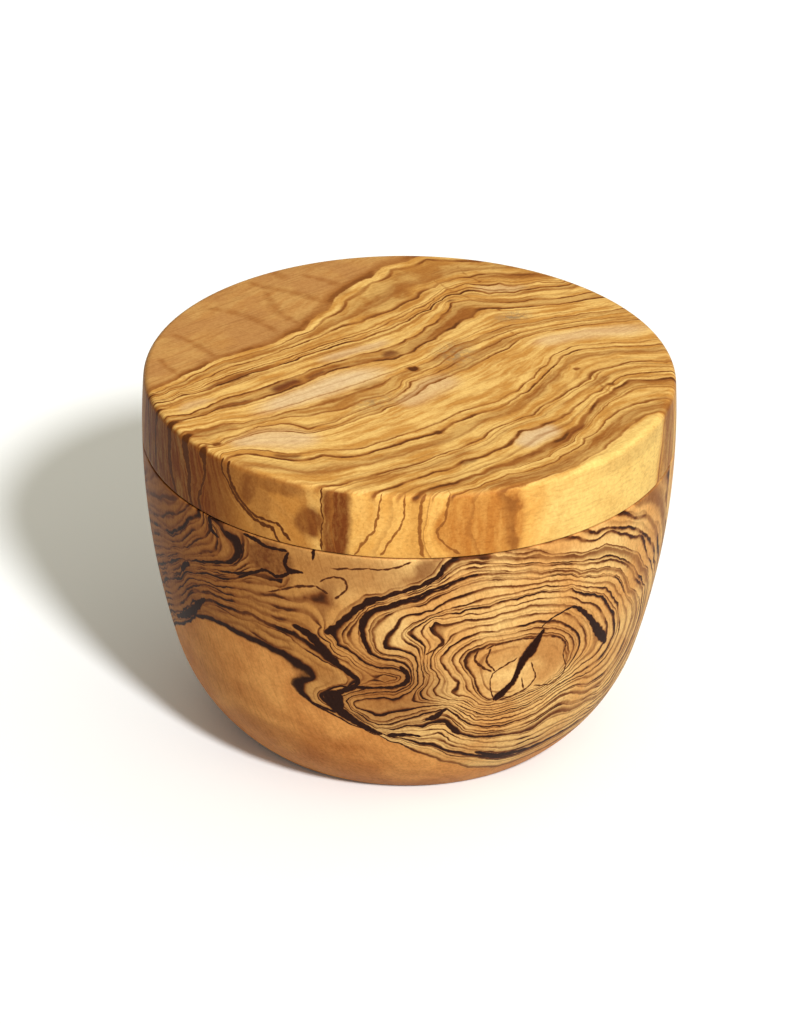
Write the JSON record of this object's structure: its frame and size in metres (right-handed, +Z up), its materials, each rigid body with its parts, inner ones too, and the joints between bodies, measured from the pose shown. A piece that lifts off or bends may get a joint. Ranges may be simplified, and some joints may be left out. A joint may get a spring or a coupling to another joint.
{
  "type": "salt box with swivel lid",
  "caption": "Round turned wooden salt box: a deep bowl with a rounded heel and a flat flush lid that swings sideways on a hidden upright pin and shuts on magnets.",
  "frame": {"origin": "centre of the flat foot, on the surface that the box stands on", "axes": "+Z up along the turning axis, -Y towards the front where the magnets are, +Y towards the pivot pin at the back"},
  "size_m": [0.108, 0.108, 0.0773],
  "materials": {
    "bowl_wood": "olive wood with dark figure, sanded and oiled, satin",
    "lid_wood": "olive wood with streaked figure, sanded and oiled, satin",
    "pin_steel": "ground stainless steel",
    "bush_brass": "machined brass",
    "washer_nylon": "natural nylon",
    "magnet_nickel": "bright nickel plate"
  },
  "bodies": {
    "bowl": {"bowl": "bowl_wood", "pivot_pin": "pin_steel", "pivot_washer": "washer_nylon", "rim_magnet": "magnet_nickel"},
    "lid": {"lid": "lid_wood", "pivot_bush": "bush_brass", "lid_magnet": "magnet_nickel"}
  },
  "joints": [
    {"name": "lid_swivel", "type": "hinge", "parent": "bowl", "child": "lid", "pos_m": [0, 0.0475, 0.063], "axis": [0, 0, 1], "continuous": true}
  ]
}
